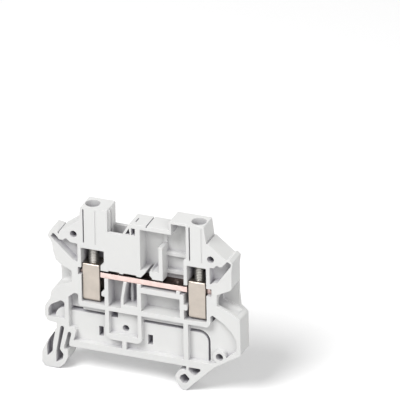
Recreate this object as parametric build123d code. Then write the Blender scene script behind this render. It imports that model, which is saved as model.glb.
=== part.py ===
from build123d import *
import os

# Feed-through terminal block: one open-fronted moulded housing, a copper bar and two screw clamps.
# X runs along the block, Y through its thickness with the open face at -Y, Z is up.
# The origin is the middle of the 35 mm rail, on the plane of its two flanges. Lengths are in mm.

# Rail that the feet clip on
rail_width = 35.0
rail_sheet = 1.0
rail_play = 0.1

# Housing as a whole
block_width = 6.2
back_wall = 0.9
rim_wall = 0.8
pocket_depth = 4.4
panel_depth = 1.6
lug_depth = 2.6
tower_top = 42.9
deck_top = 40.2
deck_thick = 1.3
notch_top = 36.5

# Clamping sleeve, a box bent from strip, threaded in its thick top
sleeve_length = 5.0
sleeve_width = 5.0
sleeve_height = 11.2
sleeve_side = 0.9
sleeve_roof = 1.6
sleeve_floor = 1.0
sleeve_round = 0.4
sleeve_foot_round = 0.7
sleeve_play = 0.1
sleeve_over_bar = 0.3
sleeve_lift = 4.0
lift_room = 0.8

# Clamp screw, M3
left_screw_x = -9.65
right_screw_x = 20.85
screw_y = -0.15
thread_diameter = 3.0
thread_play = 0.05
guide_play = 0.1
head_diameter = 3.6
head_height = 2.0
head_play = 0.05
head_recess = 0.2
slot_width = 0.8
slot_depth = 1.1
point_length = 0.5

# Screwdriver shafts over the screws
shaft_radius = 2.05
shaft_web = 1.6
relief_slot = 0.35
relief_depths = (2.3, 0.12)

# Current bar
bar_bottom = 22.3
bar_thick = 1.5
bar_front_gap = 0.4
tongue_width = 3.0
bar_hole_radius = 1.1
bar_left_overhang = 0.75
bar_right_overhang = 1.1
bar_end_play = 0.2
bar_end_bevel = 0.8
bar_gap_above = 1.1

# Pin holes in the front face, and the pegs on the back that enter the next block's holes
upper_left_pin = (-14.3, 34.2)
upper_right_pin = (25.1, 33.5)
middle_pin = (-0.25, 7.5)
boss_pin_z = 4.45
pin_hole_radius = 1.0
boss_hole_radius = 1.05
middle_hole_radius = 0.95
left_hole_depth = 5.3
right_hole_depth = 5.1
boss_hole_depth = 4.9
middle_hole_depth = 4.7
boss_radius = 1.9
peg_radius = 0.75
peg_length = 1.2
peg_bevel = 0.3

# Wire entries
wire_centre_z = 19.9
wire_width = 3.4
wire_height = 4.0
mouth_width = 4.3
mouth_top = 24.4
mouth_bottom = 16.9

# Walls that line up with each other
shaft_left = -4.5
shaft_right = 0.4
centre_left = -5.6
centre_right = 4.9
rib_left = 10.2
rib_right = 11.3
step_x = 13.4
wall_left = 17.3
foot_ledge = 1.95
ledge_thick = 1.5
ledge_play = 0.2

front_y = -block_width / 2
back_y = block_width / 2
pocket_y = front_y + pocket_depth
panel_y = front_y + panel_depth
bar_top = bar_bottom + bar_thick
bar_roof = bar_top + bar_gap_above
sleeve_top = bar_top + sleeve_over_bar + sleeve_roof
sleeve_bottom = sleeve_top - sleeve_height
sleeve_ledge = sleeve_bottom - ledge_play
ledge_bottom = sleeve_ledge - ledge_thick
window_top = sleeve_top + sleeve_lift + lift_room
shaft_floor = window_top + shaft_web
head_top = shaft_floor + head_height
rail_left = -(rail_width / 2 + rail_play)
rail_right = rail_width / 2 + rail_play
panel_left = rail_left + 1.5
panel_right = rail_right - 0.6
boss_pin = (rail_right + 9.65, boss_pin_z)
sleeve_back = screw_y + sleeve_width / 2
chamber_back = sleeve_back + sleeve_play
chamber_depth = chamber_back - front_y
chamber_half = sleeve_length / 2 + sleeve_play
left_outer = left_screw_x - chamber_half
right_outer = right_screw_x + chamber_half + 0.3
left_notch_x = left_outer - 2.8
right_notch_x = right_outer + 3.0


def outline(points):
    """Face on the XZ plane from (x, z, corner radius) points."""
    corners = [(x, z) for x, z, r in points]
    radii = [r for x, z, r in points]
    return make_face(FilletPolyline(*corners, radius=radii, close=True))


def beside(edge, points):
    """The same points, with X counted from an edge, so that a foot follows the rail."""
    return [(edge + x, z, r) for x, z, r in points]


def slab(points, y_from, y_to):
    """Solid with that outline between two planes across the thickness."""
    face = Plane.XZ.offset(-y_from) * outline(points)
    return extrude(face, amount=-(y_to - y_from))


def pocket(points, depth):
    """Pocket that opens in the front face. It starts a little in front of it, so it cuts clean."""
    return slab(points, front_y - 1, front_y + depth)


def block(x_from, x_to, y_from, y_to, z_from, z_to):
    size = Box(x_to - x_from, y_to - y_from, z_to - z_from)
    return Pos((x_from + x_to) / 2, (y_from + y_to) / 2, (z_from + z_to) / 2) * size


def box_pocket(x_from, x_to, z_from, z_to, depth):
    return block(x_from, x_to, front_y - 1, front_y + depth, z_from, z_to)


def bore(x, z, radius, depth):
    """Round hole from the front face."""
    hole = Cylinder(radius, depth + 1, rotation=(90, 0, 0))
    return Pos(x, front_y + (depth - 1) / 2, z) * hole


def body_outline():
    """Whole silhouette, clockwise from the left tower, with the wire entries still filled."""
    jaw = -rail_sheet - rail_play
    top = [
        (left_screw_x - 2.45, tower_top, 0.4),
        (shaft_left, tower_top, 0.3),
        (shaft_left, notch_top, 0),
        (-0.3, notch_top, 0),
        (1.9, deck_top, 0.2),
        (step_x, deck_top, 0),
        (step_x, tower_top, 0.2),
        (right_screw_x + 2.45, tower_top, 0.4),
    ]
    right_side = [
        (23.9, 37.9, 0), (24.15, 37.9, 0), (24.3, 38.15, 0), (29.7, 33.9, 0.2), (30.4, 34.3, 0.3),
        (31.4, 33.4, 0.5), (31.05, 30.8, 1.5), (31.05, 22.0, 4), (31.4, 18.3, 0.5),
    ]
    hook_foot = [
        (15.7, 16.6, 0.6), (15.8, 6.0, 0.6), (7.9, 0.9, 6), (2.8, -4.2, 4), (-0.1, -7.3, 0.4),
        (-1.3, -7.3, 0.6), (-2.9, -5.1, 1.2), (-3.2, -3.3, 1.0), (-2.3, -1.7, 1.0), (-1.0, jaw, 0.3),
        (0, jaw, 0.15), (0, 0, 0.15),
    ]
    latch_slot = [
        (1.45, 0, 0.3), (1.5, 1.2, 1.0), (2.2, 4.25, 0.5), (1.15, 4.3, 0.5), (0.5, 1.6, 1.0),
        (0, -0.2, 0.1), (0, jaw, 0.1),
    ]
    latch_foot = [
        (1.1, jaw - 0.2, 0.3), (0.95, -3.6, 1.0), (0.1, -5.5, 2.0), (-1.6, -7.2, 1.0), (-5.2, -7.3, 0.5),
        (-6.5, -6.3, 0.8), (-6.4, -2.6, 3.0), (-4.8, 0.6, 3.0), (-2.1, 4.9, 0.6), (-2.05, 6.5, 0.4),
        (-4.6, 6.7, 0.9), (-5.4, 8.2, 0.8), (-5.3, 11.2, 1.5), (-3.9, 13.4, 1.5),
    ]
    left_side = [
        (-20.9, 16.0, 1.0), (-20.1, 17.2, 0.5), (-20.2, 27.5, 3), (-20.5, 30.6, 1.2),
        (-21.7, 32.6, 0.5), (-21.0, 34.3, 0.3), (-18.95, 33.95, 0), (-18.75, 33.45, 0), (-18.5, 33.5, 0),
        (-18.35, 34.3, 0), (-13.0, 38.3, 0), (-12.7, 38.3, 0),
    ]
    feet = beside(rail_right, hook_foot) + beside(rail_left, latch_slot + latch_foot)
    return top + right_side + feet + left_side


def wire_entries():
    """Notches that open both wire entries to the front, and the funnels and holes into the clamps."""
    depth = block_width - back_wall
    left = [
        (left_notch_x, 19.6, 0.3), (left_notch_x, 23.0, 0.3), (-17.5, 24.1, 1.0), (-19.5, 25.6, 1.5),
        (-20.3, 28.5, 0), (-25, 28.5, 0), (-25, 16.6, 0), (-20.6, 16.6, 0), (-18.9, 17.9, 0.5),
    ]
    right = [
        (right_notch_x, 19.8, 0.3), (right_notch_x, 23.1, 0.3), (30.6, 25.1, 0.4), (31.15, 26.0, 0),
        (36, 26.0, 0), (36, 16.9, 0), (33.0, 16.9, 0.5), (30.0, 18.6, 2),
    ]
    cuts = pocket(left, depth) + pocket(right, depth)
    for notch_x, outer_x, mouth_x in (
        (left_notch_x, left_outer, left_notch_x - 5.4), (right_notch_x, right_outer, right_notch_x + 5.4)
    ):
        throat = Plane(origin=(notch_x, screw_y, wire_centre_z), x_dir=(0, 1, 0), z_dir=(1, 0, 0))
        mouth_z = (mouth_top + mouth_bottom) / 2
        mouth = Plane(origin=(mouth_x, screw_y, mouth_z), x_dir=(0, 1, 0), z_dir=(1, 0, 0))
        funnel = loft([
            throat * RectangleRounded(wire_width, wire_height, 1.2),
            mouth * RectangleRounded(mouth_width, mouth_top - mouth_bottom, 1.2),
        ])
        hole = extrude(throat * RectangleRounded(wire_width, wire_height, 1.2), amount=outer_x - notch_x)
        cuts += funnel + hole
    return cuts


def clamp_chambers():
    """Pockets that hold the two sleeves, with the small nubs that steady them."""
    left = [
        (left_outer, sleeve_ledge, 0.2), (centre_left, sleeve_ledge, 0), (centre_left, 16.8, 0),
        (-6.5, 17.0, 0.2), (-6.5, 18.1, 0.2), (centre_left, 18.9, 0.2), (centre_left, bar_bottom, 0),
        (-6.6, bar_bottom, 0), (-6.6, 26.1, 0.2), (centre_left, 27.0, 0.3), (centre_left, window_top, 0.2),
        (left_outer, window_top, 0.2),
    ]
    inner = right_screw_x - chamber_half
    right = [
        (wall_left - 0.1, sleeve_ledge - 0.3, 0.1), (right_outer, sleeve_ledge, 0.3),
        (right_outer, window_top, 0.2), (inner, window_top, 0.2), (inner, bar_bottom, 0),
        (wall_left - 0.1, bar_bottom, 0), (wall_left - 0.1, 18.6, 0.1), (18.2, 18.3, 0.2),
        (18.2, 17.0, 0.2), (wall_left - 0.1, 16.8, 0),
    ]
    cuts = pocket(left, chamber_depth) + pocket(right, chamber_depth)
    for x in (left_screw_x, right_screw_x):
        guide = Cylinder(thread_diameter / 2 + guide_play, 4)
        cuts += Pos(x, screw_y, (window_top + shaft_floor) / 2) * guide
    return cuts


def driver_shafts():
    """Round shafts from the top down to the screw heads, each with two thin relief slots in front."""
    height = tower_top - shaft_floor + 1
    cuts = []
    for x in (left_screw_x, right_screw_x):
        seat = head_top + head_recess
        cuts.append(Pos(x, screw_y, seat + height / 2) * Cylinder(shaft_radius, height))
        head_seat = Cylinder(head_diameter / 2 + head_play, height)
        cuts.append(Pos(x, screw_y, shaft_floor + height / 2) * head_seat)
        for side, depth in zip((-1, 1), relief_depths):
            slot_x = x + side * 1.75
            half = relief_slot / 2
            cuts.append(box_pocket(slot_x - half, slot_x + half, shaft_floor, tower_top - 0.75, depth))
    return cuts


def bar_channel():
    """Channel for the bar, with a little room above it and two nubs that hold it down."""
    left_end = left_outer - bar_left_overhang - bar_end_play
    right_end = right_outer + bar_right_overhang + 2 * bar_end_play
    cuts = [
        box_pocket(left_end, right_end, bar_bottom, bar_roof - 0.35, pocket_depth),
        box_pocket(-4.4, -1.2, bar_bottom, bar_roof, pocket_depth),
        box_pocket(-0.1, 3.7, bar_bottom, bar_roof, pocket_depth),
        box_pocket(centre_right, 15.1, 21.4, bar_bottom, pocket_depth),
        box_pocket(16.1, wall_left, 21.4, bar_bottom, pocket_depth),
    ]
    return cuts


def function_shafts():
    """Left bridge shaft behind its own front wall, and the right chambers open to the front."""
    lip = notch_top - bar_roof
    bridge = block(shaft_left, shaft_right, front_y + rim_wall, back_y - back_wall - 0.2, bar_top + 0.2,
                   bar_roof + lip + 8)
    left_room = [
        (centre_right, 26.8, 0), (6.6, 26.8, 0.2), (7.2, 27.4, 0), (7.9, 27.4, 0.1), (8.3, 26.8, 0.2),
        (rib_left, 26.8, 0), (rib_left, deck_top - deck_thick, 0), (centre_right, deck_top - deck_thick, 0),
    ]
    slanted_gap = [
        (4.9, bar_roof - 0.4, 0), (6.2, 26.0, 0.3), (7.1, 27.5, 0.1), (7.9, 27.5, 0.2), (7.5, 26.7, 0.2),
        (7.5, 25.6, 0.3), (8.2, bar_roof, 0.2), (8.2, bar_roof - 0.4, 0),
    ]
    over_rib = box_pocket(rib_left - 0.1, rib_right + 0.1, 34.5, deck_top - deck_thick, pocket_depth - 0.6)
    right_room = [
        (rib_right, bar_roof - 0.4, 0), (wall_left, bar_roof - 0.4, 0), (wall_left, 32.0, 0.2),
        (18.1, 32.4, 0.2), (18.1, tower_top - 0.7, 0.2), (13.9, tower_top - 0.7, 0),
        (13.9, deck_top - deck_thick, 0), (rib_right, deck_top - deck_thick, 0),
    ]
    rooms = pocket(left_room, pocket_depth) + pocket(right_room, pocket_depth)
    shelves = []
    for z in (25.6, 30.9):
        shelves.append(block(rib_right - 0.1, wall_left + 0.1, pocket_y - 1.2, pocket_y + 0.1, z, z + 1.2))
    small = pocket([(0.7, 36.9, 0), (2.1, 36.9, 0), (1.7, 38.7, 0)], 3)
    small += box_pocket(2.4, 3.5, 36.9, deck_top - deck_thick, 3)
    return rooms - shelves + pocket(slanted_gap, pocket_depth) + over_rib + bridge + small


def pockets_under_bar():
    left = [(-4.5, 14.1, 0), (-0.95, 14.1, 0.3), (-0.95, 16.8, 1), (-0.1, bar_bottom, 0),
            (-4.5, bar_bottom, 0)]
    middle = [
        (-0.15, 15.4, 0), (3.75, 15.4, 0), (3.75, bar_bottom, 0), (0.8, bar_bottom, 0), (-0.15, 17.4, 1),
    ]
    inner_rib = block(0.9, 1.6, pocket_y - 1.6, pocket_y + 0.1, 15.4, bar_bottom)
    return [
        pocket(left, pocket_depth),
        pocket(middle, pocket_depth) - inner_rib,
        box_pocket(centre_right, 16.0, 14.3, 19.85, pocket_depth),
    ]


def lower_panels():
    """Shallow panels under the ledge, with the deep groove that runs along their top."""
    groove_low = 10.3
    groove_high = 11.1
    stop = [(1.5, 5.9, 0.3), (2.7, 5.7, 0.6), (3.5, 4.9, 0.5), (2.7, foot_ledge, 0)]
    left = beside(rail_left, stop) + [
        (-0.8, foot_ledge, 0), (-0.8, 4.2, 0), (-4.2, 4.2, 0), (centre_left, 5.4, 0.6),
        (centre_left, ledge_bottom, 0), (panel_left, ledge_bottom, 0),
    ]
    right = [
        (0.45, foot_ledge, 0), (panel_right, foot_ledge, 0), (panel_right, ledge_bottom, 0),
        (centre_right, ledge_bottom, 0),
        (centre_right, 5.2, 0.8), (3.8, 4.2, 0.4), (0.45, 4.2, 0),
    ]
    centre = [(-4.45, 6.0, 0), (3.8, 6.0, 0), (3.8, ledge_bottom, 0), (-4.45, ledge_bottom, 0)]
    deep = block_width - back_wall
    return [
        pocket(left, panel_depth),
        pocket(right, panel_depth),
        pocket(centre, panel_depth),
        box_pocket(panel_left, centre_left, groove_low, groove_high, pocket_depth),
        box_pocket(centre_right, panel_right, groove_low, groove_high, pocket_depth),
        box_pocket(-4.45, -2.5, groove_low, ledge_bottom, pocket_depth),
        box_pocket(-8.0, -6.7, 3.95, 6.8, deep),
        box_pocket(6.1, 7.5, 3.85, 6.75, deep),
        bore(*middle_pin, middle_hole_radius, middle_hole_depth),
    ]


def right_end_recess():
    """Recess at the right end: a raised box with a round corner, a groove round it and a pin boss."""
    recess = beside(rail_right, [
        (0.7, foot_ledge, 0), (7.0, foot_ledge, 0), (8.6, 2.6, 1), (11.3, 4.3, 1), (13.4, 6.0, 0.3),
        (14.6, 7.2, 0.3), (14.6, 10.2, 1.5), (13.4, 12.4, 2), (10.9, 14.8, 2), (7.8, 16.8, 0.4),
        (7.2, 16.2, 0.3), (7.2, ledge_bottom + 1.2, 0.3), (6.3, ledge_bottom, 0.4), (0.7, ledge_bottom, 0),
    ])
    groove = beside(rail_right, [
        (0.7, foot_ledge, 0), (6.5, foot_ledge, 0), (6.5, 11.0, 3.2), (0.7, 11.0, 0),
    ])
    island = beside(rail_right, [
        (0.6, foot_ledge - 0.1, 0), (5.9, foot_ledge - 0.1, 0), (5.9, 10.1, 2.6), (0.6, 10.1, 0),
    ])
    pit = beside(rail_right, [
        (7.2, ledge_bottom + 1.2, 0), (8.6, 15.9, 0.1), (7.8, 16.8, 0.3), (7.2, 16.2, 0.3),
    ])
    boss_x, boss_z = boss_pin
    boss = Cylinder(boss_radius, pocket_depth, rotation=(90, 0, 0))
    boss = Pos(boss_x, (front_y + pocket_y) / 2, boss_z) * boss
    cuts = pocket(recess, panel_depth) - boss
    cuts += pocket(groove, pocket_depth) - slab(island, panel_y, pocket_y + 1)
    cuts += pocket(pit, lug_depth)
    return cuts + bore(boss_x, boss_z, boss_hole_radius, boss_hole_depth)


def lug_recesses():
    """Recesses in the two upper lugs, in the left middle lug and beside the left clamp."""
    left = [
        (-20.9, 32.4, 0.3), (-20.3, 33.6, 0.4), (-19.7, 33.3, 0.3), (-18.4, 31.9, 0.3), (-17.4, 31.9, 0.3),
        (-16.5, 32.6, 0.4), (-15.2, 31.6, 0.4), (-13.2, 31.5, 0.4), (-13.2, 25.9, 0.3), (-14.5, 26.4, 1),
    ]
    right = [
        (24.8, 31.0, 0.1), (26.0, 31.1, 0.2), (26.9, 32.1, 0.4), (27.6, 31.7, 0.3), (28.3, 31.8, 0.3),
        (29.9, 33.7, 0.3), (30.9, 33.1, 0.3), (30.9, 32.5, 0.3), (26.9, 26.7, 0.4), (25.6, 26.6, 0.3),
        (24.8, 25.7, 0.2),
    ]
    middle = beside(rail_left, [
        (-4.4, 8.1, 0.1), (-4.4, 10.4, 0.6), (-3.6, 11.8, 0.6), (-0.7, 13.5, 0.4), (0.3, 13.0, 0.4),
        (0.3, 8.1, 0.1),
    ])
    beside_clamp = [
        (panel_left, 11.0, 0), (panel_left, 15.0, 0.2), (left_outer - 2.15, 16.4, 0.4),
        (left_outer - 1.05, 16.3, 0.4), (left_outer - 0.95, ledge_bottom + 0.6, 0.5),
        (left_outer - 0.25, ledge_bottom, 0), (left_outer - 0.25, 11.0, 0),
    ]
    quarter_y = front_y + 1.0
    quarter = Pos(rail_left + 0.3, (quarter_y + pocket_y) / 2, 8.1) * Cylinder(3.0, pocket_y - quarter_y,
                                                                    rotation=(90, 0, 0))
    return [
        pocket(left, lug_depth), pocket(right, lug_depth), pocket(beside_clamp, lug_depth),
        pocket(middle, 3.3) - quarter,
        bore(*upper_left_pin, pin_hole_radius, left_hole_depth),
        bore(*upper_right_pin, pin_hole_radius, right_hole_depth),
    ]


def foot_cutouts():
    """Spring slot of the latch foot, its hollow, and the two hollows of the hook foot."""
    spring_slot = beside(rail_left, [
        (-0.95, 5.8, 0.5), (0.15, 5.6, 0.5), (-0.4, 3.0, 2), (-1.05, 0.0, 2), (-1.3, -1.4, 0.6),
        (-0.3, -2.8, 0.4), (-0.5, -4.3, 0.6), (-2.45, -5.6, 0.15), (-2.35, -2.0, 3), (-1.6, 2.0, 5),
    ])
    hollow = beside(rail_left, [
        (-2.5, 4.0, 0.1), (-3.2, 0.6, 1), (-3.45, -2.4, 0.5), (-5.0, -4.2, 0.2), (-5.0, -0.6, 1.5),
        (-4.3, 1.2, 1),
    ])
    hook_round = beside(rail_right, [
        (-0.3, -2.3, 0.3), (1.0, -3.7, 0.4), (0.1, -5.1, 0.4), (-1.0, -5.3, 0.4), (-2.0, -4.1, 0.5),
        (-1.7, -3.1, 0.3),
    ])
    hook_triangle = beside(rail_right, [
        (0.7, -0.15, 0.3), (4.2, -0.15, 0.3), (4.0, -0.9, 0.3), (2.5, -2.4, 0.4), (1.5, -2.0, 0.3),
        (0.7, -1.1, 0.2),
    ])
    return [
        slab(spring_slot, front_y - 1, back_y + 1), pocket(hollow, lug_depth),
        pocket(hook_round, pocket_depth), pocket(hook_triangle, pocket_depth),
    ]


def top_details():
    """Hinge groove and short slot in the deck."""
    groove = block(6.6, 6.95, front_y - 1, back_y + 1, deck_top - 0.5, deck_top + 1)
    slot = block(2.95, 3.3, front_y + 1.7, front_y + 4.1, deck_top - 0.6, deck_top + 1)
    return [groove, slot]


def back_pegs():
    """Bevelled locating pegs on the back, each in line with a pin hole."""
    pegs = []
    for x, z in (upper_left_pin, upper_right_pin, boss_pin):
        tip = back_y + peg_length
        straight = Cylinder(peg_radius, peg_length - peg_bevel + 0.1, rotation=(90, 0, 0))
        pegs.append(Pos(x, (back_y - 0.1 + tip - peg_bevel) / 2, z) * straight)
        cone = Cone(peg_radius - peg_bevel, peg_radius, peg_bevel, rotation=(90, 0, 0))
        pegs.append(Pos(x, tip - peg_bevel / 2, z) * cone)
    return pegs


def housing():
    body = slab(body_outline(), front_y, back_y)
    for cuts in (
        [wire_entries()], [clamp_chambers()], driver_shafts(), bar_channel(), [function_shafts()],
        pockets_under_bar(), lower_panels(), [right_end_recess()], lug_recesses(), foot_cutouts(),
        top_details(),
    ):
        for cut in cuts:
            body -= cut
    for y in (front_y + 1.0, front_y + 2.9):
        body += block(shaft_left - 0.1, shaft_left + 0.35, y, y + 0.6, notch_top - 6, tower_top - 0.4)
    for peg in back_pegs():
        body += peg
    return body


def current_bar():
    """Stamped copper bar: wide in the middle, with narrower tongues through the sleeves."""
    left_end = left_outer - bar_left_overhang
    right_end = right_outer + bar_right_overhang
    tongue_y = screw_y - tongue_width / 2
    wide_left = left_screw_x + chamber_half + 0.2
    wide_right = right_screw_x - chamber_half - 0.2
    bar = block(left_end, right_end, tongue_y, tongue_y + tongue_width, bar_bottom, bar_top)
    bar = bar & block(left_end, right_end, tongue_y, pocket_y, bar_bottom, bar_top)
    bar += block(wide_left, wide_right, front_y + bar_front_gap, pocket_y, bar_bottom, bar_top)
    for x, turn in ((left_end, 45), (right_end, -45)):
        side = bar_end_bevel * 2 ** 0.5
        bar -= Pos(x, 0, bar_top) * Box(side, block_width, side, rotation=(0, turn, 0))
    for x in (-2.0, 7.6, 14.3):
        bar -= Pos(x, (front_y + bar_front_gap + pocket_y) / 2, bar_bottom) * Cylinder(bar_hole_radius, 4)
    return bar


def clamping_sleeve(x):
    """Box bent from strip and open at both ends of X, with a threaded hole in its thick roof."""
    bottom = Plane.YZ.offset(x - sleeve_length / 2)
    centre_z = sleeve_bottom + sleeve_height / 2
    outer = bottom * Pos(screw_y, centre_z) * RectangleRounded(sleeve_width, sleeve_height, sleeve_round)
    inner_height = sleeve_height - sleeve_roof - sleeve_floor
    inner_z = sleeve_bottom + sleeve_floor + inner_height / 2
    inner_width = sleeve_width - 2 * sleeve_side
    inner = bottom * Pos(screw_y, inner_z) * RectangleRounded(inner_width, inner_height, 0.3)
    sleeve = extrude(outer - inner, amount=sleeve_length)
    left, right = x - sleeve_length / 2, x + sleeve_length / 2
    side_view = [
        (left, sleeve_bottom, sleeve_foot_round), (right, sleeve_bottom, sleeve_foot_round),
        (right, sleeve_top, 0.1), (left, sleeve_top, 0.1),
    ]
    sleeve = sleeve & slab(side_view, front_y - 1, back_y + 1)
    hole = Cylinder(thread_diameter / 2 + thread_play, 2 * sleeve_roof)
    return sleeve - Pos(x, screw_y, sleeve_bottom + sleeve_height - sleeve_roof / 2) * hole


def clamp_screw(x):
    """Slotted cylinder-head screw, turned about its own axis. Its point bears on the bar."""
    radius = thread_diameter / 2
    half = head_diameter / 2
    profile = Polyline(
        (0, bar_top), (radius - point_length, bar_top), (radius, bar_top + point_length),
        (radius, shaft_floor), (half, shaft_floor), (half, head_top - 0.25), (half - 0.25, head_top),
        (0, head_top), close=True,
    )
    screw = revolve(Plane.XZ * make_face(profile), axis=Axis.Z)
    slot = Pos(0, 0, head_top) * Box(head_diameter + 1, slot_width, 2 * slot_depth)
    return Pos(x, screw_y, 0) * (screw - slot)


parts = {
    "housing": housing(),
    "current_bar": current_bar(),
    "left_clamp_sleeve": clamping_sleeve(left_screw_x),
    "right_clamp_sleeve": clamping_sleeve(right_screw_x),
    "left_clamp_screw": clamp_screw(left_screw_x),
    "right_clamp_screw": clamp_screw(right_screw_x),
}

os.makedirs("parts", exist_ok=True)
for name, solid in parts.items():
    export_step(solid, f"parts/{name}.step")
    print(name, round(solid.volume, 1), len(solid.solids()))
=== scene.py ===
import math

import bmesh
import bpy
from mathutils import Matrix, Vector


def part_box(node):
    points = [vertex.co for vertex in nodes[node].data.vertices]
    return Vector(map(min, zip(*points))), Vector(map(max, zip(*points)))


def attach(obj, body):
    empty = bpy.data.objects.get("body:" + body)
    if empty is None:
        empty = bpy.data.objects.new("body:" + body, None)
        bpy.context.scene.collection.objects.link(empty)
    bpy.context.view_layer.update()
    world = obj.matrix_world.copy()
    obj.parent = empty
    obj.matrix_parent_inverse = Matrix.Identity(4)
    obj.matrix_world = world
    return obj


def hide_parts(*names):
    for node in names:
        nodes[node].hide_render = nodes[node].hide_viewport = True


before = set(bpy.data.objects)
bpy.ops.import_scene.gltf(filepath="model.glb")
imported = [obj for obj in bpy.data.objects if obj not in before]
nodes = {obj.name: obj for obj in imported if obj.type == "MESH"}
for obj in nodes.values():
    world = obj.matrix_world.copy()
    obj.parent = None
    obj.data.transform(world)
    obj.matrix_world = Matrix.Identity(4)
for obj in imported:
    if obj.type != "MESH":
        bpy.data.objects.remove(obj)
scene = bpy.context.scene
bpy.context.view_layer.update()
print("frame loaded:", ", ".join(sorted(nodes)))

mm = 0.001


# Small helpers for node materials

def newMaterial(name):
    material = bpy.data.materials.new(name)
    material.use_nodes = True
    tree = material.node_tree
    return material, tree, tree.nodes["Principled BSDF"]


def addNode(tree, kind, spot, **values):
    node = tree.nodes.new(kind)
    node.location = spot
    for key, value in values.items():
        if hasattr(node, key):
            setattr(node, key, value)
        else:
            node.inputs[key.replace("_", " ")].default_value = value
    return node


def newGroup(name, inputs, outputs):
    group = bpy.data.node_groups.new(name, "ShaderNodeTree")
    for label, kind, default in inputs:
        socket = group.interface.new_socket(name=label, in_out="INPUT", socket_type=kind)
        socket.default_value = default
    for label, kind in outputs:
        group.interface.new_socket(name=label, in_out="OUTPUT", socket_type=kind)
    start = group.nodes.new("NodeGroupInput")
    start.location = (-900, 0)
    end = group.nodes.new("NodeGroupOutput")
    end.location = (700, 0)
    return group, start, end


def placeGroup(tree, group, spot, **values):
    node = tree.nodes.new("ShaderNodeGroup")
    node.node_tree = group
    node.location = spot
    for key, value in values.items():
        node.inputs[key].default_value = value
    return node


# Softened edges and a fine surface grain, as a normal for the shader
def makeSurfaceGroup():
    group, start, end = newGroup(
        "softEdgeGrain",
        [("Edge", "NodeSocketFloat", 0.1 * mm), ("Grain Scale", "NodeSocketFloat", 9000.0),
         ("Grain", "NodeSocketFloat", 0.05), ("Depth", "NodeSocketFloat", 0.01 * mm)],
        [("Normal", "NodeSocketVector")])
    coords = addNode(group, "ShaderNodeTexCoord", (-900, -250))
    noise = addNode(group, "ShaderNodeTexNoise", (-600, -200), Detail=3.0, Roughness=0.6)
    softened = addNode(group, "ShaderNodeBevel", (-300, 250), samples=8)
    bump = addNode(group, "ShaderNodeBump", (200, 0))
    link = group.links.new
    link(coords.outputs["Object"], noise.inputs["Vector"])
    link(start.outputs["Grain Scale"], noise.inputs["Scale"])
    link(start.outputs["Edge"], softened.inputs["Radius"])
    link(start.outputs["Grain"], bump.inputs["Strength"])
    link(start.outputs["Depth"], bump.inputs["Distance"])
    link(noise.outputs["Fac"], bump.inputs["Height"])
    link(softened.outputs["Normal"], bump.inputs["Normal"])
    link(bump.outputs["Normal"], end.inputs["Normal"])
    return group


# Slow tone drift between two colours
def makeToneGroup():
    group, start, end = newGroup(
        "toneDrift",
        [("Light", "NodeSocketColor", (1, 1, 1, 1)), ("Dark", "NodeSocketColor", (0.8, 0.8, 0.8, 1)),
         ("Scale", "NodeSocketFloat", 120.0), ("Amount", "NodeSocketFloat", 0.5)],
        [("Color", "NodeSocketColor"), ("Mask", "NodeSocketFloat")])
    coords = addNode(group, "ShaderNodeTexCoord", (-900, -250))
    noise = addNode(group, "ShaderNodeTexNoise", (-600, -200), Detail=4.0, Roughness=0.55)
    reach = addNode(group, "ShaderNodeMapRange", (-350, -200))
    reach.inputs["From Min"].default_value = 0.3
    reach.inputs["From Max"].default_value = 0.7
    scale = addNode(group, "ShaderNodeMath", (-100, -200), operation="MULTIPLY")
    mix = addNode(group, "ShaderNodeMix", (200, 0), data_type="RGBA")
    link = group.links.new
    link(coords.outputs["Object"], noise.inputs["Vector"])
    link(start.outputs["Scale"], noise.inputs["Scale"])
    link(noise.outputs["Fac"], reach.inputs["Value"])
    link(reach.outputs["Result"], scale.inputs[0])
    link(start.outputs["Amount"], scale.inputs[1])
    link(scale.outputs["Value"], mix.inputs["Factor"])
    link(start.outputs["Light"], mix.inputs[6])
    link(start.outputs["Dark"], mix.inputs[7])
    link(mix.outputs[2], end.inputs["Color"])
    link(reach.outputs["Result"], end.inputs["Mask"])
    return group


# Darker tone deep in the pockets, where little light gets in
def makeCreviceGroup():
    group, start, end = newGroup(
        "creviceShade",
        [("Color", "NodeSocketColor", (1, 1, 1, 1)),
         ("Crevice", "NodeSocketColor", (0.3, 0.3, 0.3, 1)),
         ("Reach", "NodeSocketFloat", 5 * mm), ("Power", "NodeSocketFloat", 1.5),
         ("Amount", "NodeSocketFloat", 1.0)],
        [("Color", "NodeSocketColor")])
    shade = addNode(group, "ShaderNodeAmbientOcclusion", (-600, -100), samples=12)
    closed = addNode(group, "ShaderNodeMath", (-350, -100), operation="SUBTRACT")
    closed.inputs[0].default_value = 1.0
    bent = addNode(group, "ShaderNodeMath", (-150, -100), operation="POWER")
    scaled = addNode(group, "ShaderNodeMath", (50, -100), operation="MULTIPLY", use_clamp=True)
    mix = addNode(group, "ShaderNodeMix", (300, 0), data_type="RGBA")
    link = group.links.new
    link(start.outputs["Reach"], shade.inputs["Distance"])
    link(shade.outputs["AO"], closed.inputs[1])
    link(closed.outputs["Value"], bent.inputs[0])
    link(start.outputs["Power"], bent.inputs[1])
    link(bent.outputs["Value"], scaled.inputs[0])
    link(start.outputs["Amount"], scaled.inputs[1])
    link(scaled.outputs["Value"], mix.inputs["Factor"])
    link(start.outputs["Color"], mix.inputs[6])
    link(start.outputs["Crevice"], mix.inputs[7])
    link(mix.outputs[2], end.inputs["Color"])
    return group


surfaceGroup = makeSurfaceGroup()
toneGroup = makeToneGroup()
creviceGroup = makeCreviceGroup()

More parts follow.
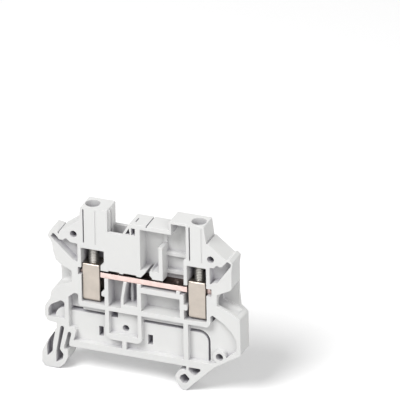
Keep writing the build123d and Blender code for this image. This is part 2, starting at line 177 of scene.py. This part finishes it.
plastic = {
    "light": (0.68, 0.68, 0.67, 1),
    "dark": (0.64, 0.64, 0.635, 1),
    "crevice": (0.26, 0.245, 0.30, 1),
    "creviceReach": 5 * mm,
    "crevicePower": 2.6,
    "creviceAmount": 0.8,
    "driftScale": 90.0,
    "driftAmount": 0.5,
    "grain": 0.35,
    "roughness": 0.42,
    "smoothest": -0.05,
    "roughest": 0.07,
    "edge": 0.12 * mm,
    "subsurface": 0.08,
    "subsurfaceScale": 0.4 * mm,
}

steel = {
    "light": (0.72, 0.70, 0.67, 1),
    "dark": (0.56, 0.55, 0.52, 1),
    "crevice": (0.10, 0.10, 0.09, 1),
    "creviceAmount": 0.8,
    "roughness": 0.36,
    "streakStretch": (1, 1, 1),
    "streakScale": 4000.0,
    "edge": 0.06 * mm,
}

nickel = {
    "light": (0.54, 0.485, 0.43, 1),
    "dark": (0.45, 0.405, 0.36, 1),
    "crevice": (0.12, 0.10, 0.08, 1),
    "creviceAmount": 1.2,
    "roughness": 0.38,
    "streakStretch": (0.15, 1, 1),
    "streakScale": 5000.0,
    "edge": 0.1 * mm,
}

copper = {
    "light": (0.86, 0.69, 0.645, 1),
    "dark": (0.60, 0.44, 0.41, 1),
    "crevice": (0.04, 0.03, 0.025, 1),
    "creviceAmount": 0.9,
    # painted shade and dark reflection on the bar's upward faces
    "paintedTopShade": (0.10, 0.065, 0.05, 1),
    "paintedTopShadeAmount": 0.88,
    "roughness": 0.30,
    "streakStretch": (0.1, 1, 1),
    "streakScale": 4500.0,
    "edge": 0.08 * mm,
}

# What the three metals share
metal = {
    "creviceReach": 4 * mm,
    "crevicePower": 1.6,
    "driftScale": 350.0,
    "driftAmount": 0.7,
    "grain": 0.15,
    "smoothest": -0.08,
    "roughest": 0.1,
    "streakStrength": 0.2,
    "streakDepth": 0.004 * mm,
    "upwardFrom": 0.75,
    "upwardFull": 0.95,
}


def makePlastic():
    material, tree, shader = newMaterial("housingPlastic")
    tone = placeGroup(tree, toneGroup, (-700, 200), Light=plastic["light"], Dark=plastic["dark"],
                      Scale=plastic["driftScale"], Amount=plastic["driftAmount"])
    surface = placeGroup(tree, surfaceGroup, (-700, -200), Edge=plastic["edge"],
                         Grain=plastic["grain"])
    rough = addNode(tree, "ShaderNodeMapRange", (-400, 0))
    rough.inputs["To Min"].default_value = plastic["roughness"] + plastic["smoothest"]
    rough.inputs["To Max"].default_value = plastic["roughness"] + plastic["roughest"]
    link = tree.links.new
    shade = placeGroup(tree, creviceGroup, (-350, 250), Crevice=plastic["crevice"],
                       Reach=plastic["creviceReach"], Power=plastic["crevicePower"],
                       Amount=plastic["creviceAmount"])
    link(tone.outputs["Color"], shade.inputs["Color"])
    link(shade.outputs["Color"], shader.inputs["Base Color"])
    link(tone.outputs["Mask"], rough.inputs["Value"])
    link(rough.outputs["Result"], shader.inputs["Roughness"])
    link(surface.outputs["Normal"], shader.inputs["Normal"])
    shader.inputs["IOR"].default_value = 1.5
    shader.inputs["Subsurface Weight"].default_value = plastic["subsurface"]
    shader.inputs["Subsurface Radius"].default_value = (1.0, 1.0, 1.0)
    shader.inputs["Subsurface Scale"].default_value = plastic["subsurfaceScale"]
    return material


# Painted shade and dark reflection: upward faces are mixed towards a dark tone, by the geometry's own
# normal.
def addPaintedTopShade(tree, finish, colour, shader):
    shape = addNode(tree, "ShaderNodeNewGeometry", (-700, 500))
    parts = addNode(tree, "ShaderNodeSeparateXYZ", (-500, 500))
    upward = addNode(tree, "ShaderNodeMapRange", (-350, 500))
    upward.inputs["From Min"].default_value = metal["upwardFrom"]
    upward.inputs["From Max"].default_value = metal["upwardFull"]
    upward.inputs["To Max"].default_value = finish["paintedTopShadeAmount"]
    mixed = addNode(tree, "ShaderNodeMix", (-150, 400), data_type="RGBA")
    mixed.inputs[7].default_value = finish["paintedTopShade"]
    link = tree.links.new
    link(shape.outputs["True Normal"], parts.inputs["Vector"])
    link(parts.outputs["Z"], upward.inputs["Value"])
    link(upward.outputs["Result"], mixed.inputs["Factor"])
    link(colour, mixed.inputs[6])
    link(mixed.outputs[2], shader.inputs["Base Color"])


def makeMetal(name, finish):
    material, tree, shader = newMaterial(name)
    tone = placeGroup(tree, toneGroup, (-700, 200), Light=finish["light"], Dark=finish["dark"],
                      Scale=metal["driftScale"], Amount=metal["driftAmount"])
    surface = placeGroup(tree, surfaceGroup, (-900, -200), Edge=finish["edge"],
                         Grain=metal["grain"])
    coords = addNode(tree, "ShaderNodeTexCoord", (-1300, -500))
    turn = addNode(tree, "ShaderNodeMapping", (-1100, -500))
    turn.inputs["Scale"].default_value = finish["streakStretch"]
    streaks = addNode(tree, "ShaderNodeTexNoise", (-900, -500), Scale=finish["streakScale"],
                      Detail=2.0)
    bump = addNode(tree, "ShaderNodeBump", (-500, -300), Strength=metal["streakStrength"],
                   Distance=metal["streakDepth"])
    rough = addNode(tree, "ShaderNodeMapRange", (-500, 0))
    rough.inputs["To Min"].default_value = finish["roughness"] + metal["smoothest"]
    rough.inputs["To Max"].default_value = finish["roughness"] + metal["roughest"]
    link = tree.links.new
    link(coords.outputs["Object"], turn.inputs["Vector"])
    link(turn.outputs["Vector"], streaks.inputs["Vector"])
    link(streaks.outputs["Fac"], bump.inputs["Height"])
    link(surface.outputs["Normal"], bump.inputs["Normal"])
    shade = placeGroup(tree, creviceGroup, (-350, 250), Crevice=finish["crevice"],
                       Reach=metal["creviceReach"], Power=metal["crevicePower"],
                       Amount=finish["creviceAmount"])
    link(tone.outputs["Color"], shade.inputs["Color"])
    link(shade.outputs["Color"], shader.inputs["Base Color"])
    # painted shade and dark reflection on upward faces, where the finish asks for it
    if "paintedTopShade" in finish:
        addPaintedTopShade(tree, finish, shade.outputs["Color"], shader)
    link(streaks.outputs["Fac"], rough.inputs["Value"])
    link(rough.outputs["Result"], shader.inputs["Roughness"])
    link(bump.outputs["Normal"], shader.inputs["Normal"])
    shader.inputs["Metallic"].default_value = 1.0
    return material


housingPlastic = makePlastic()
screwSteel = makeMetal("screwSteel", steel)
sleeveNickel = makeMetal("sleeveNickel", nickel)
barCopper = makeMetal("barCopper", copper)
print("materials made")


def paint(thing, material):
    thing.data.materials.clear()
    thing.data.materials.append(material)


paint(nodes["housing"], housingPlastic)
paint(nodes["current_bar"], barCopper)


# Pieces made with bmesh

def finishPiece(mesh, name, material, body, node):
    data = bpy.data.meshes.new(name)
    mesh.to_mesh(data)
    mesh.free()
    thing = bpy.data.objects.new(name, data)
    scene.collection.objects.link(thing)
    data.materials.append(material)
    for face in data.polygons:
        face.use_smooth = True
    data.set_sharp_from_angle(angle=math.radians(32))
    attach(thing, body)
    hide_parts(node)
    return thing


# Lengths in metres. The four parts of the profile are in mm, outward and upward from a corner.
screw = {
    "pitch": 0.5 * mm,
    "threadDepth": 0.28 * mm,
    "threadFootSunk": 0.04 * mm,
    "threadInset": 0.3 * mm,
    "toothShares": (0.04, 0.42, 0.58, 0.96),
    "coreShare": 0.98,
    "radius": 1.5 * mm,
    "headRadius": 1.8 * mm,
    "headHeight": 2.0 * mm,
    "pointEnd": ((-0.25, 0), (0, 0.3)),
    "neckFlare": ((0, -0.35), (0.12, -0.1), (0.3, 0)),
    "headFoot": ((-0.1, 0), (0, 0.1)),
    "headTop": ((0, -0.25), (-0.07, -0.08), (-0.25, 0)),
    "slotWidth": 0.8 * mm,
    "slotDepth": 1.1 * mm,
    "threadSteps": 40,
    "turnedSteps": 48,
}


def makeScrew(side):
    node = side + "_clamp_screw"
    low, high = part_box(node)
    centreX, centreY = (low.x + high.x) / 2, (low.y + high.y) / 2
    neckZ = high.z - screw["headHeight"]
    pitch, steps = screw["pitch"], screw["threadSteps"]

    # The thread is one closed tooth swept up a helix. Its foot is sunk in the core.
    thread = bmesh.new()
    foot = screw["radius"] - screw["threadDepth"] - screw["threadFootSunk"]
    tooth = list(zip((foot, screw["radius"], screw["radius"], foot), screw["toothShares"]))
    startZ = low.z + screw["threadInset"]
    turns = int((neckZ - screw["threadInset"] - startZ) / pitch) - 1
    verts = [thread.verts.new((centreX + r, centreY, startZ + share * pitch)) for r, share in tooth]
    edges = [thread.edges.new((verts[i - 1], verts[i])) for i in (1, 2, 3, 0)]
    bmesh.ops.spin(thread, geom=verts + edges, cent=(centreX, centreY, 0), axis=(0, 0, 1),
                   dvec=(0, 0, pitch / steps), angle=2 * math.pi * turns, steps=steps * turns,
                   use_merge=False)
    ends = [e for e in thread.edges if len(e.link_faces) == 1]
    bmesh.ops.holes_fill(thread, edges=ends, sides=0)

    # The core with its point, the neck and the head, as one turned profile
    core = screw["radius"] - screw["threadDepth"] * screw["coreShare"]
    head = screw["headRadius"]
    profile = [(0, low.z)]
    for radius, startHeight, part in ((core, low.z, "pointEnd"), (core, neckZ, "neckFlare"),
                                      (head, neckZ, "headFoot"), (head, high.z, "headTop")):
        profile += [(radius + out * mm, startHeight + rise * mm) for out, rise in screw[part]]
    profile.append((0, high.z))
    turned = bmesh.new()
    verts = [turned.verts.new((centreX + r, centreY, z)) for r, z in profile]
    edges = [turned.edges.new((verts[i], verts[i + 1])) for i in range(len(verts) - 1)]
    bmesh.ops.spin(turned, geom=verts + edges, cent=(centreX, centreY, 0), axis=(0, 0, 1),
                   angle=2 * math.pi, steps=screw["turnedSteps"], use_merge=True)
    bmesh.ops.remove_doubles(turned, verts=turned.verts, dist=1e-7)

    # The driver slot: three cuts across the head, the faces between them removed, the rim filled
    half = screw["slotWidth"] / 2
    floor = high.z - screw["slotDepth"]
    for plane, normal in (((0, centreY - half, 0), (0, 1, 0)), ((0, centreY + half, 0), (0, 1, 0)),
                          ((0, 0, floor), (0, 0, 1))):
        bmesh.ops.bisect_plane(turned, geom=turned.verts[:] + turned.edges[:] + turned.faces[:],
                               plane_co=plane, plane_no=normal)
    inside = [f for f in turned.faces
              if f.calc_center_median().z > floor and abs(f.calc_center_median().y - centreY) < half]
    bmesh.ops.delete(turned, geom=inside, context="FACES")
    rim = [e for e in turned.edges if len(e.link_faces) == 1]
    bmesh.ops.holes_fill(turned, edges=rim, sides=0)
    bmesh.ops.recalc_face_normals(turned, faces=turned.faces)
    bmesh.ops.recalc_face_normals(thread, faces=thread.faces)

    # Core and thread as one mesh
    extra = bpy.data.meshes.new("threadPart")
    thread.to_mesh(extra)
    thread.free()
    turned.from_mesh(extra)
    bpy.data.meshes.remove(extra)
    return finishPiece(turned, side + "Screw", screwSteel, side + "_screw", node)


sleeve = {
    "edge": 0.28 * mm,
    "edgeSteps": 3,
    "wall": 0.9 * mm,
    "roof": 1.6 * mm,
    "floor": 1.0 * mm,
    "slack": 0.02 * mm,
    "sharpAngle": math.radians(60),
    "threadReach": 1.7 * mm,
    "threadDrop": 0.2 * mm,
    "footRound": 1.2 * mm,
    "footSteps": 8,
    "footDrop": 0.1 * mm,
    "footHeight": 1.4 * mm,
    "roofEnd": 0.11 * mm,
    "roofRound": 0.4 * mm,
}


# The strip's foot as one swept path: down the front wall, under the wire opening, up the back wall
def replaceFoot(mesh, low, high, cutZ):
    bmesh.ops.bisect_plane(mesh, geom=mesh.verts[:] + mesh.edges[:] + mesh.faces[:],
                           plane_co=(0, 0, cutZ), plane_no=(0, 0, 1), clear_inner=True)
    half, radius = (high.y - low.y) / 2, sleeve["footRound"]
    bend = [((half, cutZ), (half - sleeve["wall"], cutZ))]
    for step in range(sleeve["footSteps"] + 1):
        turn = math.pi / 2 * step / sleeve["footSteps"]
        across, down = math.cos(turn), math.sin(turn)
        bend.append(((half - radius * (1 - across), low.z + radius * (1 - down)),
                     (half - radius + (radius - sleeve["wall"]) * across,
                      low.z + radius - (radius - sleeve["floor"]) * down)))
    centreY = (low.y + high.y) / 2
    path = [[(centreY - y, z) for y, z in pair] for pair in bend]
    path += [[(centreY + y, z) for y, z in pair] for pair in reversed(bend)]
    rows = [[mesh.verts.new((x, y, z)) for y, z in pair for x in (low.x, high.x)] for pair in path]
    for here, there in zip(rows, rows[1:]):
        for first, second in ((0, 1), (2, 3), (0, 2), (1, 3)):
            mesh.faces.new((here[first], here[second], there[second], there[first]))
    bmesh.ops.remove_doubles(mesh, verts=mesh.verts, dist=1e-6)
    bmesh.ops.recalc_face_normals(mesh, faces=mesh.faces)


# The roof's two cut ends made square, so that they take the same rounding as the walls
def squareRoof(mesh, low, high):
    centreX, centreY = (low.x + high.x) / 2, (low.y + high.y) / 2
    flatX = (high.x - low.x) / 2 - sleeve["roofEnd"]
    flatY = (high.y - low.y) / 2 - sleeve["roofRound"]
    for vert in mesh.verts:
        if vert.co.z > high.z - sleeve["roofEnd"] and abs(vert.co.x - centreX) > flatX:
            vert.co.x = high.x if vert.co.x > centreX else low.x
            if abs(vert.co.y - centreY) < flatY + sleeve["slack"]:
                vert.co.z = high.z
    bmesh.ops.remove_doubles(mesh, verts=mesh.verts, dist=2e-6)
    bmesh.ops.dissolve_degenerate(mesh, edges=mesh.edges, dist=1e-7)


def makeSleeve(side):
    node = side + "_clamp_sleeve"
    low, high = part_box(node)
    centreX, centreY = (low.x + high.x) / 2, (low.y + high.y) / 2
    mesh = bmesh.new()
    mesh.from_mesh(nodes[node].data)
    mesh.transform(nodes[node].matrix_world)
    bmesh.ops.remove_doubles(mesh, verts=mesh.verts, dist=1e-6)
    squareRoof(mesh, low, high)
    cutZ = low.z + sleeve["footHeight"]
    low.z -= sleeve["footDrop"]
    replaceFoot(mesh, low, high, cutZ)
    bmesh.ops.dissolve_limit(mesh, angle_limit=math.radians(1), verts=mesh.verts, edges=mesh.edges)

    # Sharp edges are rounded, except those of the wire opening and of the threaded hole
    halfWire = (high.y - low.y) / 2 - sleeve["wall"] + sleeve["slack"]
    wireLow = low.z + sleeve["floor"] - sleeve["slack"]
    wireHigh = high.z - sleeve["roof"] + sleeve["slack"]
    edges = []
    for edge in mesh.edges:
        if len(edge.link_faces) != 2 or edge.calc_face_angle() < sleeve["sharpAngle"]:
            continue
        middle = (edge.verts[0].co + edge.verts[1].co) / 2
        offX, offY = abs(middle.x - centreX), abs(middle.y - centreY)
        inOpening = offY < halfWire and wireLow < middle.z < wireHigh
        inThread = max(offX, offY) < sleeve["threadReach"] and middle.z > wireHigh - sleeve["threadDrop"]
        if not inOpening and not inThread:
            edges.append(edge)
    bmesh.ops.bevel(mesh, geom=edges, offset=sleeve["edge"], offset_type="OFFSET",
                    profile_type="SUPERELLIPSE", segments=sleeve["edgeSteps"], profile=0.5,
                    affect="EDGES", clamp_overlap=True)
    for vert in mesh.verts:
        vert.co = [min(max(value, least), most) for value, least, most in zip(vert.co, low, high)]
    bmesh.ops.recalc_face_normals(mesh, faces=mesh.faces)
    return finishPiece(mesh, side + "Sleeve", sleeveNickel, side + "_sleeve", node)


for side in ("left", "right"):
    for piece in (makeScrew(side), makeSleeve(side)):
        print(piece.name, len(piece.data.polygons), "faces")

stage = {
    "floorZ": -7.4 * mm,
    "floorSize": 8.0,
    "floorWhite": 0.98,
    "floorBounce": 0.45,
    "floorGlow": 0.05,
    "floorRoughness": 0.9,
    "floorSpecular": 0.1,
    "grainScale": 60.0,
    "grainStrength": 0.05,
    "grainDepth": 0.2 * mm,
    "worldLight": 0.46,
}

lamps = {
    "keyLamp": {"place": (-0.25, -0.55, 0.75), "size": 0.5, "power": 7.6},
    "fillLamp": {"place": (0.6, -0.5, 0.35), "size": 0.6, "power": 2.8},
}
lampTarget = Vector((0, 0, 0.015))


# Camera at the photograph's angle

view = {
    "place": (1.0824, -2.6265, 1.5158),
    "right": (0.92983, 0.3677, -0.01434),
    "up": (-0.15724, 0.43226, 0.88793),
    "lens": 1080.0,
    "sensor": 36.0,
    "clip": (0.1, 60.0),
}
cameraData = bpy.data.cameras.new("camera")
camera = bpy.data.objects.new("camera", cameraData)
scene.collection.objects.link(camera)
right = Vector(view["right"]).normalized()
up = Vector(view["up"])
up = (up - right * up.dot(right)).normalized()
back = right.cross(up)
turnMatrix = Matrix((right, up, back)).transposed().to_4x4()
camera.matrix_world = Matrix.Translation(Vector(view["place"])) @ turnMatrix
cameraData.lens = view["lens"]
cameraData.sensor_width = view["sensor"]
cameraData.clip_start, cameraData.clip_end = view["clip"]
scene.camera = camera

# Floor, world and lamps

def addLamp(name, place, size, power):
    lamp = bpy.data.lights.new(name, "AREA")
    lamp.shape = "DISK"
    lamp.size = size
    lamp.energy = power
    thing = bpy.data.objects.new(name, lamp)
    thing.location = place
    thing.rotation_euler = (lampTarget - Vector(place)).to_track_quat("-Z", "Y").to_euler()
    scene.collection.objects.link(thing)


floorMesh = bmesh.new()
bmesh.ops.create_grid(floorMesh, x_segments=1, y_segments=1, size=stage["floorSize"] / 2,
                      matrix=Matrix.Translation((0, 0, stage["floorZ"])))
floorData = bpy.data.meshes.new("floor")
floorMesh.to_mesh(floorData)
floorMesh.free()
floor = bpy.data.objects.new("floor", floorData)
scene.collection.objects.link(floor)


def makeFloorMaterial():
    material, tree, shader = newMaterial("paleFloor")
    rays = addNode(tree, "ShaderNodeLightPath", (-900, 200))
    seen = addNode(tree, "ShaderNodeMath", (-700, 200), operation="MAXIMUM")
    tint = addNode(tree, "ShaderNodeMix", (-450, 200), data_type="RGBA")
    tint.inputs[6].default_value = (stage["floorBounce"],) * 3 + (1,)
    tint.inputs[7].default_value = (stage["floorWhite"],) * 3 + (1,)
    glow = addNode(tree, "ShaderNodeMath", (-450, -50), operation="MULTIPLY")
    glow.inputs[1].default_value = stage["floorGlow"]
    noise = addNode(tree, "ShaderNodeTexNoise", (-500, -300), Scale=stage["grainScale"], Detail=2.0)
    bump = addNode(tree, "ShaderNodeBump", (-250, -300), Strength=stage["grainStrength"],
                   Distance=stage["grainDepth"])
    coords = addNode(tree, "ShaderNodeTexCoord", (-750, -300))
    link = tree.links.new
    link(rays.outputs["Is Camera Ray"], seen.inputs[0])
    link(rays.outputs["Is Glossy Ray"], seen.inputs[1])
    link(seen.outputs["Value"], tint.inputs["Factor"])
    link(seen.outputs["Value"], glow.inputs[0])
    link(tint.outputs[2], shader.inputs["Base Color"])
    link(glow.outputs["Value"], shader.inputs["Emission Strength"])
    link(coords.outputs["Object"], noise.inputs["Vector"])
    link(noise.outputs["Fac"], bump.inputs["Height"])
    link(bump.outputs["Normal"], shader.inputs["Normal"])
    shader.inputs["Emission Color"].default_value = (1, 1, 1, 1)
    shader.inputs["Roughness"].default_value = stage["floorRoughness"]
    shader.inputs["Specular IOR Level"].default_value = stage["floorSpecular"]
    return material


paint(floor, makeFloorMaterial())

world = bpy.data.worlds.new("studio")
scene.world = world
world.use_nodes = True
tree = world.node_tree
background = tree.nodes["Background"]
background.inputs["Color"].default_value = (1, 1, 1, 1)
rays = addNode(tree, "ShaderNodeLightPath", (-600, 0))
seen = addNode(tree, "ShaderNodeMath", (-400, 0), operation="MAXIMUM")
seenToo = addNode(tree, "ShaderNodeMath", (-250, 0), operation="MAXIMUM")
level = addNode(tree, "ShaderNodeMapRange", (-100, 0))
level.inputs["To Min"].default_value = stage["worldLight"]
level.inputs["To Max"].default_value = 1.0
tree.links.new(rays.outputs["Is Camera Ray"], seen.inputs[0])
tree.links.new(rays.outputs["Is Glossy Ray"], seen.inputs[1])
tree.links.new(seen.outputs["Value"], seenToo.inputs[0])
tree.links.new(rays.outputs["Is Transmission Ray"], seenToo.inputs[1])
tree.links.new(seenToo.outputs["Value"], level.inputs["Value"])
tree.links.new(level.outputs["Result"], background.inputs["Strength"])

for name, values in lamps.items():
    addLamp(name, **values)

scene.view_settings.view_transform = "Standard"
print("stage set")
